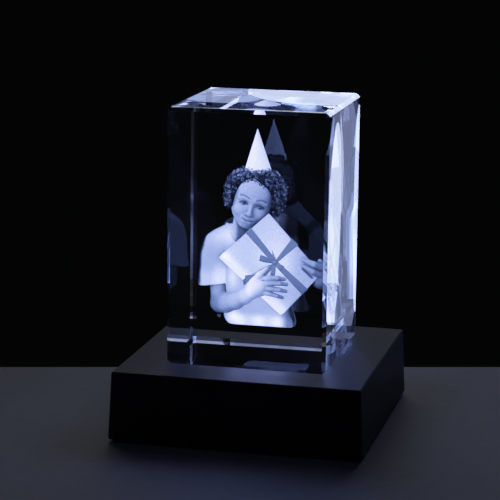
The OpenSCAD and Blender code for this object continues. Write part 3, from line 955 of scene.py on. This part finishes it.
def skin(v, n):
    q = to_head(v)
    # the picture's shading: the face grows darker towards the viewer's right, away from the light
    tone = 1.05 - 0.022 * (v[:, 0] + 2.5)
    front = smooth(2.0, 3.2, q[:, 2])
    for side in (-1, 1):
        e = q.copy()
        e[:, 0] = (q[:, 0] - side * EYE_U)
        e[:, 1] = q[:, 1] - EYE_V
        top = np.interp(e[:, 0], [p[0] for p in LID], [p[1] for p in LID])
        low = -0.62 + 0.3 * (e[:, 0] / 1.3) ** 2
        inside = smooth(0.08, -0.08, np.maximum(np.abs(e[:, 0]) - 1.22, np.maximum(e[:, 1] - top, low - e[:, 1]))) * front
        eye = 0.95 - 0.82 * smooth(0.72, 0.52, np.hypot(e[:, 0] - 0.12, e[:, 1] + 0.08))
        eye = eye + 0.9 * smooth(0.24, 0.1, np.hypot(e[:, 0] + 0.08, e[:, 1] - 0.14))
        tone = tone * (1 - inside) + eye * inside
        lash = smooth(0.3, 0.1, gap_to([(a, b + 0.06) for a, b in LID], e)) * front
        tone *= 1 - 0.8 * lash
        under = smooth(0.22, 0.06, gap_to([(-1.15, -0.4), (0, -0.66), (1.15, -0.38)], e)) * front
        tone *= 1 - 0.3 * under
        brow = [(side * 1.2, 1.7), (side * 2.0, 2.0), (side * 3.0, 2.15), (side * 4.2, 1.8)]
        tone *= 1 - 0.55 * smooth(0.46, 0.14, gap_to(brow, q)) * front
        tone *= 1 - 0.6 * smooth(0.34, 0.14, np.hypot((q[:, 0] - side * 0.5) / 1.3, q[:, 1] + 3.72)) * front
    lips = smooth(0.5, 0.25, gap_to([(-1.6, -5.15), (0, -5.45), (1.6, -5.15)], q)) * front
    tone *= 1 - 0.2 * lips
    tone *= 1 - 0.66 * smooth(0.2, 0.07, gap_to(MOUTH, q)) * front
    return tone


def neck_tone(v, n):
    """Lit on the viewer's left, deep in shade under the chin."""
    return 1.4 - 1.18 * smooth(-9.0, -6.6, v[:, 0]) * smooth(46, 42, v[:, 2])


def shirt_tone(v, n):
    """Cloth: dull over the sleeve's middle, bright at the shoulder and the hems."""
    x, z = v[:, 0], v[:, 2]
    out = 1.25 + 0.85 * spot(x, z, -10.6, 37.6, 4.6, 2.8) - 0.25 * spot(x, z, -15, 31, 4, 5)
    cuff = smooth(-10.4, -11.2, x) * smooth(20, 21, z)
    out += cuff * (0.35 * smooth(28, 24, z) + 0.75 * smooth(-16, -12.5, x) * smooth(30, 26, z))
    out += 1.1 * spot(x, z, -8.9, 24.5, 1.9, 3.2)
    low = smooth(14.2, 11.4, z) * smooth(-11.5, -9, x)
    out += low * (1.15 + 0.35 * np.cos(2 * math.pi * x / 6.1)) + 1.5 * spot(x, z, -8.3, 13.0, 1.7, 2.0)
    out = out * (1 - 0.74 * smooth(6.4, 9.4, x) * smooth(24, 20, z)) * (1 - 0.9 * smooth(-0.5, -0.8, n[:, 0]) * smooth(-17, -18, x))
    # painted light: what faces straight down, towards the lamp below, glows bright
    return np.where(n[:, 2] < -0.7, 2.6, out)


def shirt_back(v, n):
    """The painted glow of the back is brightest along its middle, with long soft folds, and dim over the shoulders."""
    x, z = v[:, 0], v[:, 2]
    folds = 0.82 + 0.14 * np.sin(0.9 * x + 0.2 * z + 1.2 * np.sin(0.22 * z)) + 0.1 * np.sin(2.6 * x - 0.15 * z + 1.6 * np.sin(0.31 * z + 0.4 * x))
    out = 3.8 * folds * (1 - 0.95 * smooth(-1, 4.5, x) * smooth(29, 35, z)) * (1 - 0.92 * smooth(6.0, 8.0, x) * smooth(27, 31, z))
    out = out * (0.2 + 0.8 * smooth(-8.0, -0.5, x)) * (0.4 + 0.6 * smooth(13, 22, z)) * (1 - 0.8 * smooth(7.0, 8.6, x))
    out = out + (0.75 - out) * smooth(-12, -15, x)
    # painted light: what faces straight down, towards the lamp below, glows bright
    return np.where(n[:, 2] < -0.7, 3.2, out)


def shirt_pale(v):
    return 0.02 + 0.1 * smooth(-14, -11, v[:, 0])


def arm_back(v, n):
    return 0.3 + 1.6 * smooth(-12, -9, v[:, 0])


def arm_tone(v, n):
    """Skin of the arm, dim at the elbow and bright at the wrist."""
    x, z = v[:, 0], v[:, 2]
    along = np.interp(x, [-16, -15, -13, -11, -8, -5, -3, -2, 0, 1.5, 3, 4.5, 6, 10], [0.24, 0.32, 0.52, 0.85, 1.1, 1.35, 1.9, 2.4, 2.1, 1.8, 1.4, 0.95, 0.85, 0.9])
    return along + 0.3 * smooth(17.5, 20.5, z) * smooth(-11.5, -13, x)


def far_tone(v, n):
    return np.interp(v[:, 2], [22, 24, 26, 28, 32], [0.18, 0.28, 0.5, 0.66, 0.78]) * (1 - 0.3 * smooth(17.5, 20.5, v[:, 0]))


def gift_tone(v, n):
    """Gift front with the picture's shading: brightest by its lower left edge and round the knot, duller to the right,
    away from the light.
    """
    x, z = v[:, 0], v[:, 2]
    a, b = CORNERS[0], CORNERS[3]
    away = vec(b[2] - a[2], 0, -(b - a)[0])
    in_by = -((v - a) @ (away / np.linalg.norm(away)))
    out = 1.5 + 0.7 * spot(x, z, 5.8, 31, 6, 8) + 0.15 * smooth(0, -8, x) - 0.45 * smooth(8, 13, x)
    out += 1.0 * smooth(3.2, 0.4, in_by) + 0.5 * spot(x, z, -10.5, 32.4, 2.5, 2.0)
    # painted shadow of the far hand's finger across the gift's front
    finger_shadow = gap_to([(14.5, 29.35), (17.4, 26.8)], np.stack([x, z], 1))
    out *= 1 - 0.85 * smooth(0.75, 0.1, finger_shadow)
    side = smooth(0.7, 0.4, -n[:, 1])
    return out * (1 - side) + 2.8 * side


def gift_back(v, n):
    return np.where(n[:, 1] > 0.5, 0.4, np.where(n[:, 0] * n[:, 2] > 0.1, 0.3, 2.6))


sculpt("engraved_head", head_shapes, 0.13, skin, even=14, rear=0.3)
sculpt("engraved_neck", neck_shapes, 0.22, neck_tone, even=4, rear=0.6)
sculpt("engraved_hair", hair_base, 0.22, 0.022, rear=lambda v, n: 0.02 + 0.3 * smooth(0.4, 0.8, n[:, 1]))
sculpt("engraved_shirt", shirt_shapes, 0.22, shirt_tone, even=4, crease=0.4, flat=0.75, rear=shirt_back, rear_pale=shirt_pale)
sculpt("engraved_arm", limb_shapes, 0.16, arm_tone, even=3, rear=arm_back)
sculpt("engraved_far_hand", far_shapes, 0.16, far_tone, even=2, rear=0.3)
sculpt("engraved_gift_box", gift_shapes, 0.25, gift_tone, crease=0.5, flat=0.9, rear=gift_back, rear_pale=lambda v: 0.02 + 0 * v[:, 0])


def curl_tubes():
    """Every curl is a small spring of hair, thin at both ends."""
    v, f, nrm, alb = [], [], [], []
    steps, sides = 9, 4
    for p, n, layer, face in curl_at:
        axis = n + rng.normal(0, 0.5, 3)
        axis /= np.linalg.norm(axis)
        e1 = np.cross(axis, rng.normal(0, 1, 3))
        e1 /= np.linalg.norm(e1)
        e2 = np.cross(axis, e1)
        big = rng.uniform(0.28, 0.56) * (1.0 if layer != 2 else 0.85)
        turns, rise = rng.uniform(0.75, 1.2), rng.uniform(0.2, 0.5)
        thick = rng.uniform(0.09, 0.155)
        bright = (0.05 + 1.15 * rng.uniform() ** 2.8) * (0.4 if layer == 1 else 1.0) * (0.25 + 0.75 * smooth(1.0, 1.16, face)) * (1 + 0.9 * math.exp(-((p[2] - 59.0) / 1.6) ** 2))
        t = np.linspace(0, 1, steps)
        a = 2 * math.pi * turns * t
        r = big * (0.55 + 0.45 * t)
        c = p + np.outer(r * np.cos(a), e1) + np.outer(r * np.sin(a), e2) + np.outer(rise * (t - 0.5), axis)
        tan = np.gradient(c, axis=0)
        tan /= np.linalg.norm(tan, axis=1, keepdims=True)
        u = np.cross(tan, axis)
        u /= np.linalg.norm(u, axis=1, keepdims=True)
        w = np.cross(tan, u)
        off = len(v) * 0 + sum(len(x) for x in v)
        ring_n = [math.cos(2 * math.pi * k / sides) * u + math.sin(2 * math.pi * k / sides) * w for k in range(sides)]
        rr = thick * np.sqrt(np.clip(np.minimum(t, 1 - t) / 0.18, 0.12, 1))
        pts = np.stack([c + rr[:, None] * q for q in ring_n], 1).reshape(-1, 3)
        v.append(pts)
        nrm.append(np.stack(ring_n, 1).reshape(-1, 3))
        alb.append(np.full(len(pts), bright))
        for i in range(steps - 1):
            for k in range(sides):
                k2 = (k + 1) % sides
                f.append((off + i * sides + k, off + i * sides + k2, off + (i + 1) * sides + k2, off + (i + 1) * sides + k))
        f.append([off + k for k in reversed(range(sides))])
        f.append([off + (steps - 1) * sides + k for k in range(sides)])
    return np.concatenate(v), f, np.concatenate(nrm), np.concatenate(alb)


cv, cf, cn, ca = curl_tubes()
out_of = (cv - HAIR_C) / HAIR_R
ball_n = out_of / HAIR_R
ball_n /= np.linalg.norm(ball_n, axis=1, keepdims=True)
deep = smooth(0.86, 1.06, (np.abs(out_of) ** HAIR_P).sum(1) ** (1 / HAIR_P))
curl_light = (0.1 + 0.9 * np.clip(cn @ LAMP, 0, 1)) * (0.6 + 0.4 * np.clip(0.4 + 0.6 * (ball_n @ LAMP), 0, 1)) * (0.08 + 0.92 * deep)
engrave("engraved_curls", cv, cf, cn * 0 + vec(0, -1, 0), ca * 0.95, curl_light)


def lathe_hat():
    """Paper cone with an open foot and an overlap down its side."""
    rows, cols = 44, 120
    base, tip = HAT_FOOT, HAT_TIP
    v = []
    for shell in (0, 1):
        for i in range(rows + 1):
            s = i / rows
            c = base + (tip - base) * s
            r = HAT_R * (1 - s) + 0.06 - 0.14 * shell
            for j in range(cols):
                a = 2 * math.pi * j / cols
                seam = 0.07 * smooth(0.0, 0.05, (a / (2 * math.pi) - 0.62) % 1.0) * (1 - s)
                rr = max(r + seam * (1 - shell), 0.02)
                v.append(c + vec(rr * math.cos(a), rr * math.sin(a), 0.35 * (1 - s) * math.sin(a) - 0.25 * shell * s))
    f = []
    off = (rows + 1) * cols
    for i in range(rows):
        for j in range(cols):
            k = (j + 1) % cols
            f.append((i * cols + j, i * cols + k, (i + 1) * cols + k, (i + 1) * cols + j))
            f.append((off + i * cols + j, off + (i + 1) * cols + j, off + (i + 1) * cols + k, off + i * cols + k))
    for j in range(cols):
        k = (j + 1) % cols
        f.append((j, off + j, off + k, k))
    f.append([rows * cols + j for j in range(cols)])
    f.append([off + rows * cols + j for j in reversed(range(cols))])
    return np.array(v), f


def normals_of(v, faces):
    bm = bmesh.new()
    vs = [bm.verts.new(p) for p in v]
    for q in faces:
        bm.faces.new([vs[i] for i in q])
    bm.normal_update()
    n = np.array([x.normal[:] for x in bm.verts])
    bm.free()
    return n


hv, hf = lathe_hat()
hn = normals_of(hv, hf)
# the hat's tone carries the picture's shading: brighter where it faces left and towards the front, duller near the tip
hat_shading = 2.3 + 0.75 * np.clip(-hn[:, 0] * 0.8 - hn[:, 1] * 0.3, -0.9, 0.5) - 0.3 * smooth(66, 71, hv[:, 2])
engrave("engraved_hat", hv, hf, hn, np.ones(len(hv)), hat_shading, 1.7)


def band(path, across, width, thick, name, albedo, closed=False, ease=None):
    """Ribbon along a path. across holds the width direction at each point."""
    p = np.array(path, float)
    n = len(p)
    t = np.gradient(p, axis=0)
    if closed:
        t = np.roll(p, -1, 0) - np.roll(p, 1, 0)
    t /= np.linalg.norm(t, axis=1, keepdims=True)
    w = np.array(across, float)
    w -= (w * t).sum(1, keepdims=True) * t
    w /= np.linalg.norm(w, axis=1, keepdims=True)
    o = np.cross(t, w)
    cols = 9
    v = []
    for side in (1, -1):
        for i in range(n):
            wd = width * (ease[i] if ease is not None else 1.0)
            for j in range(cols):
                s = j / (cols - 1) - 0.5
                v.append(p[i] + w[i] * wd * s + o[i] * side * thick * (0.5 if 0 < j < cols - 1 else 0.25))
    f = []
    off = n * cols
    last = n if closed else n - 1
    for i in range(last):
        i2 = (i + 1) % n
        for j in range(cols - 1):
            a, b, c, d = i * cols + j, i2 * cols + j, i2 * cols + j + 1, i * cols + j + 1
            f.append((a, d, c, b))
            f.append((off + a, off + b, off + c, off + d))
        a, b = i * cols, i2 * cols
        f.append((a, b, off + b, off + a))
        a, b = i * cols + cols - 1, i2 * cols + cols - 1
        f.append((b, a, off + a, off + b))
    if not closed:
        for i, flip in ((0, False), (n - 1, True)):
            for j in range(cols - 1):
                q = [i * cols + j, off + i * cols + j, off + i * cols + j + 1, i * cols + j + 1]
                f.append(tuple(q[::-1] if flip else q))
    v = np.array(v)
    bm = bmesh.new()
    vs = [bm.verts.new(x) for x in v]
    for q in f:
        bm.faces.new([vs[i] for i in q])
    bmesh.ops.recalc_face_normals(bm, faces=bm.faces[:])
    bm.normal_update()
    nrm = np.array([x.normal[:] for x in bm.verts])
    bm.verts.index_update()
    f = [[x.index for x in face.verts] for face in bm.faces]
    bm.free()
    return engrave(name, v, f, nrm, albedo(v) if callable(albedo) else np.full(len(v), albedo), 0.35 + 0.65 * shade(v, nrm), 0.12)


def curve(points, n):
    """Smooth open curve through points."""
    p = np.array(points, float)
    s = np.concatenate([[0], np.cumsum(np.linalg.norm(np.diff(p, axis=0), axis=1))])
    return spline(np.column_stack([s, p]), n)[:, 1:]


def tie(name, a, k, c, lift, widths, via=None):
    """Closed ribbon: over the front from edge point a by the knot k to edge point c, and round the back."""
    line = curve([a, (a + k) / 2 if via is None else via, k, (k + c) / 2, c], 80)
    run = np.concatenate([[0], np.cumsum(np.linalg.norm(np.diff(line, axis=0), axis=1))])
    total, mid = run[-1], run[np.argmin(np.linalg.norm(line - k, axis=1))]
    slope = np.gradient(line, axis=0)
    slope /= np.linalg.norm(slope, axis=1, keepdims=True)
    ha, hb, r = total / 2 + lift, GIFT_D / 2 + lift, 0.35
    pts = []
    for cx, cy, a0 in ((ha - r, hb - r, 0), (-ha + r, hb - r, 90), (-ha + r, -hb + r, 180), (ha - r, -hb + r, 270)):
        for i in range(7):
            t = math.radians(a0 + 15 * i)
            pts.append((cx + r * math.cos(t), cy + r * math.sin(t)))
    path, across, ease = [], [], []
    for (x0, y0), (x1, y1) in zip(pts, pts[1:] + pts[:1]):
        m = max(1, int(math.hypot(x1 - x0, y1 - y0) / 0.3))
        for i in range(m):
            q, y = x0 + (x1 - x0) * i / m + total / 2, y0 + (y1 - y0) * i / m
            at = np.array([np.interp(q, run, line[:, j]) for j in range(3)])
            d = np.array([np.interp(q, run, slope[:, j]) for j in range(3)])
            at = at + d * (min(q, 0) + max(q - total, 0))
            path.append(at + vec(LEAN[0] * (y + GIFT_D / 2), GIFT_Y + y, LEAN[1] * (y + GIFT_D / 2)))
            across.append(vec(-d[2], 0, d[0]))
            ease.append(np.interp(q, [0, mid, total], widths) if y < 0 else np.interp(q, [0, total], [widths[0], widths[2]]))
    return band(path, across, 1.0, 0.26, name, ribbon_tone, closed=True, ease=ease)


def ribbon_tone(v):
    return 0.42 - 0.16 * smooth(29, 19, v[:, 2]) * smooth(2, 10, v[:, 0])


KNOT_AT = vec(5.75, 0, 30.85)
KNOT = KNOT_AT + vec(0, GIFT_Y - GIFT_D / 2, 0)
tie("engraved_ribbon_long", on_edge(0, 1, 0.577), KNOT_AT, on_edge(3, 2, 0.55), 0.12, (2.4, 1.6, 2.6))
tie("engraved_ribbon_short", on_edge(0, 3, 0.41), KNOT_AT, on_edge(1, 2, 0.485), 0.2, (2.4, 0.9, 2.8), vec(1.0, 0, 26.2))


def at_knot(x, z, out):
    return KNOT + vec(x, -out, z)


def strip(name, points, across, widths, tone, thick=0.16, n=60):
    """Loose length of ribbon through points about the knot, as wide as widths say along it."""
    path = curve([at_knot(*p) for p in points], n)
    u = np.linspace(0, 1, n)
    ease = np.interp(u, np.linspace(0, 1, len(widths)), widths)
    return band(path, [vec(*across)] * n, 1.0, thick, name, tone, ease=ease)


def loop_tone(v):
    return 0.4 - 0.16 * smooth(0.2, -1.2, v[:, 2] - KNOT[2] - 0.25 * (KNOT[0] - v[:, 0]))


strip("engraved_bow_left", [(0, 0, 0.5), (-2.2, 0.65, 1.1), (-4.0, 1.15, 1.1), (-4.75, 1.3, 0.8), (-4.0, 1.1, 0.45), (-2.2, 0.55, 0.4), (0, 0, 0.4)],
      (0.18, 0, 1), (0.7, 1.3, 1.85, 1.95, 1.85, 1.3, 0.7), loop_tone)
strip("engraved_bow_right", [(0, 0, 0.5), (1.0, -0.75, 1.2), (2.0, -1.4, 1.2), (2.5, -1.7, 0.85), (2.0, -1.45, 0.5), (1.0, -0.8, 0.4), (0, 0, 0.4)],
      (0.6, 0, 0.8), (0.7, 1.3, 1.8, 1.9, 1.8, 1.3, 0.7), 0.46)
strip("engraved_bow_low", [(-0.1, -0.2, 0.5), (-0.2, -1.6, 1.5), (-0.45, -3.2, 1.9), (-0.6, -4.1, 1.7), (-0.45, -3.3, 1.3), (-0.2, -1.6, 0.8), (-0.1, -0.2, 0.4)],
      (1, 0, -0.12), (0.6, 1.1, 1.4, 1.45, 1.4, 1.1, 0.6), 0.42)
strip("engraved_end_a", [(-0.1, 0.2, 0.5), (-0.3, 1.5, 0.9), (-0.55, 2.7, 0.8), (-0.95, 3.85, 0.5)], (0.95, -0.2, 0.15), (0.9, 0.8, 0.5, 0.15), 0.42)
strip("engraved_end_b", [(0.2, 0.2, 0.5), (0.1, 1.2, 0.8), (0.15, 2.1, 0.6)], (0.95, -0.2, 0.1), (0.6, 0.4, 0.15), 0.4)
strip("engraved_tail_a", [(-0.6, -0.5, 0.8), (-1.6, -1.7, 1.8), (-3.0, -3.4, 2.9), (-4.6, -4.95, 3.2)], (0.72, -0.15, 0.68), (0.8, 1.05, 0.85, 0.45),
      lambda v: 0.42 - 0.2 * smooth(-2.0, -4.6, v[:, 0] - KNOT[0]))
strip("engraved_tail_curl", [(-4.6, -4.9, 3.25), (-3.9, -5.35, 3.5), (-2.8, -5.15, 3.6), (-1.5, -4.85, 3.4)], (0.1, -0.3, 1), (0.5, 0.36, 0.28, 0.2), 0.3)
strip("engraved_tail_b", [(-1.4, -0.7, 0.8), (-3.4, -1.75, 1.8), (-5.0, -2.75, 2.5), (-6.8, -3.9, 2.9)], (0.45, -0.2, 0.85), (0.34, 0.34, 0.3, 0.2), 0.4)
knot_shapes = [ball(at_knot(0.05, 0.0, 0.75), (0.85, 0.6, 0.8), 0.2)]
sculpt("engraved_knot", knot_shapes, 0.14, 0.46, rear=0.1)

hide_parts("engraved_figure")
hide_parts("engraved_gift")


# ------------------------------------------------------------------ floor, light and camera

def floor_slab():
    """Table top, turned so that its far edge is level in the picture."""
    bm = bmesh.new()
    bmesh.ops.create_cube(bm, size=1.0)
    for v in bm.verts:
        v.co.x *= 2.4
        v.co.y = -1.4 if v.co.y < 0 else 0.0611
        v.co.z = -0.018 if v.co.z < 0 else 0.0
    bmesh.ops.bevel(bm, geom=bm.edges[:], offset=0.0015, segments=3, profile=0.5, affect="EDGES")
    bmesh.ops.rotate(bm, verts=bm.verts[:], cent=(0, 0, 0), matrix=Matrix.Rotation(math.radians(15.75), 3, "Z"))
    me = bpy.data.meshes.new("floor")
    bm.to_mesh(me)
    bm.free()
    return link(bpy.data.objects.new("floor", me))


floor = floor_slab()
fm = Mat("pale_floor")
fp = fm.principled(Roughness=0.55, Base_Color=(0.6, 0.6, 0.6, 1.0))
fn = fm.noise(220.0, 5.0, 0.6)
fm.join(fm.ramp(fn, [(0.3, (0.58, 0.585, 0.6)), (0.7, (0.64, 0.645, 0.66))]), fp.inputs["Base Color"])
put(floor, fm)

world = bpy.data.worlds.new("world")
scene.world = world
world.use_nodes = True
world.node_tree.nodes["Background"].inputs["Color"].default_value = (0.8, 0.85, 1.0, 1.0)
world.node_tree.nodes["Background"].inputs["Strength"].default_value = 0.001


def area(name, loc, target, size, power, colour=(1, 1, 1), roll=0.0, shape="RECTANGLE"):
    d = bpy.data.lights.new(name, "AREA")
    d.shape = shape
    d.size, d.size_y = size
    d.energy = power
    d.color = colour
    o = link(bpy.data.objects.new(name, d))
    o.location = loc
    o.visible_camera = False
    o.rotation_mode = "QUATERNION"
    o.rotation_quaternion = (Vector(loc) - Vector(target)).to_track_quat("Z", "Y") @ Quaternion((0, 0, 1), math.radians(roll))
    return o


COOL = (0.43, 0.52, 1.0)
area("softbox_back", (-0.32, 0.95, 0.8), (0, 0, 0.02), (1.1, 0.7), 0.42, (0.95, 0.97, 1.0))
area("softbox_gloss", (-0.25, 1.2, 0.2931), (-0.2, 0, 0.02), (0.5, 0.0358), 0.057, (0.72, 0.82, 1.0))
area("softbox_edge", (0.167, 1.19, 0.327), (0, 0, 0.1), (0.14, 0.09), 0.2, COOL)
area("overhead_left", (-0.21, -0.25, 0.97), (0, 0, 0.03), (0.12, 0.12), 0.011, COOL)
area("overhead_right", (0.25, -0.25, 0.95), (0, 0, 0.03), (0.12, 0.12), 0.018, COOL)


def long_box(name, x, y, z, wide, high, level, roll=0.0):
    """Long soft box with rounded ends, behind the object."""
    area(name, (x, y, z), (x, 0, z), (wide, high), level * math.pi ** 2 / 4 * wide * high, COOL, roll, "ELLIPSE")


long_box("strip_top_right", -0.225, 1.17, 0.2545, 0.13, 0.020, 2.4)
long_box("strip_top_left", -0.320, 1.17, 0.2560, 0.10, 0.020, 0.8)
long_box("strip_side_front", 0.5170, 2.5, -0.450, 0.020, 0.36, 3.6, -1.0)
long_box("strip_side_back", 0.4800, 2.5, -0.410, 0.011, 0.34, 3.6)
long_box("strip_side_fill", 0.5020, 2.5, -0.430, 0.060, 0.42, 0.45)

cam_data = bpy.data.cameras.new("camera")
cam_data.sensor_width = 36.0
cam_data.lens = 142.99
cam_data.clip_start, cam_data.clip_end = 0.01, 20.0
cam = link(bpy.data.objects.new("camera", cam_data))
right, up, back = (0.971692, 0.236042, 0.009981), (-0.058146, 0.197992, 0.978477), (0.228985, -0.951359, 0.206112)
cam.matrix_world = Matrix((
    (right[0], up[0], back[0], 0.138633),
    (right[1], up[1], back[1], -0.595746),
    (right[2], up[2], back[2], 0.183211),
    (0, 0, 0, 1)))
scene.camera = cam

scene.view_settings.view_transform = "Standard"
scene.view_settings.look = "None"
# film-like shoulder: bright light runs to white channel by channel
scene.view_settings.use_curve_mapping = True
tone_map = scene.view_settings.curve_mapping
tone_map.white_level = (4.0, 4.0, 4.0)
shoulder = tone_map.curves[3]
for x in (0.1, 0.2, 0.4, 0.7, 1.0, 1.5, 2.0, 3.0):
    shoulder.points.new(x / 4, 1 - math.exp(-1.6 * x))
shoulder.points[-1].location = (1.0, 1 - math.exp(-6.4))
tone_map.update()
cy = scene.cycles
cy.max_bounces = 24
cy.transmission_bounces = 24
cy.glossy_bounces = 12
cy.diffuse_bounces = 4
cy.transparent_max_bounces = 24
cy.sample_clamp_indirect = 4.0
cy.use_denoising = True
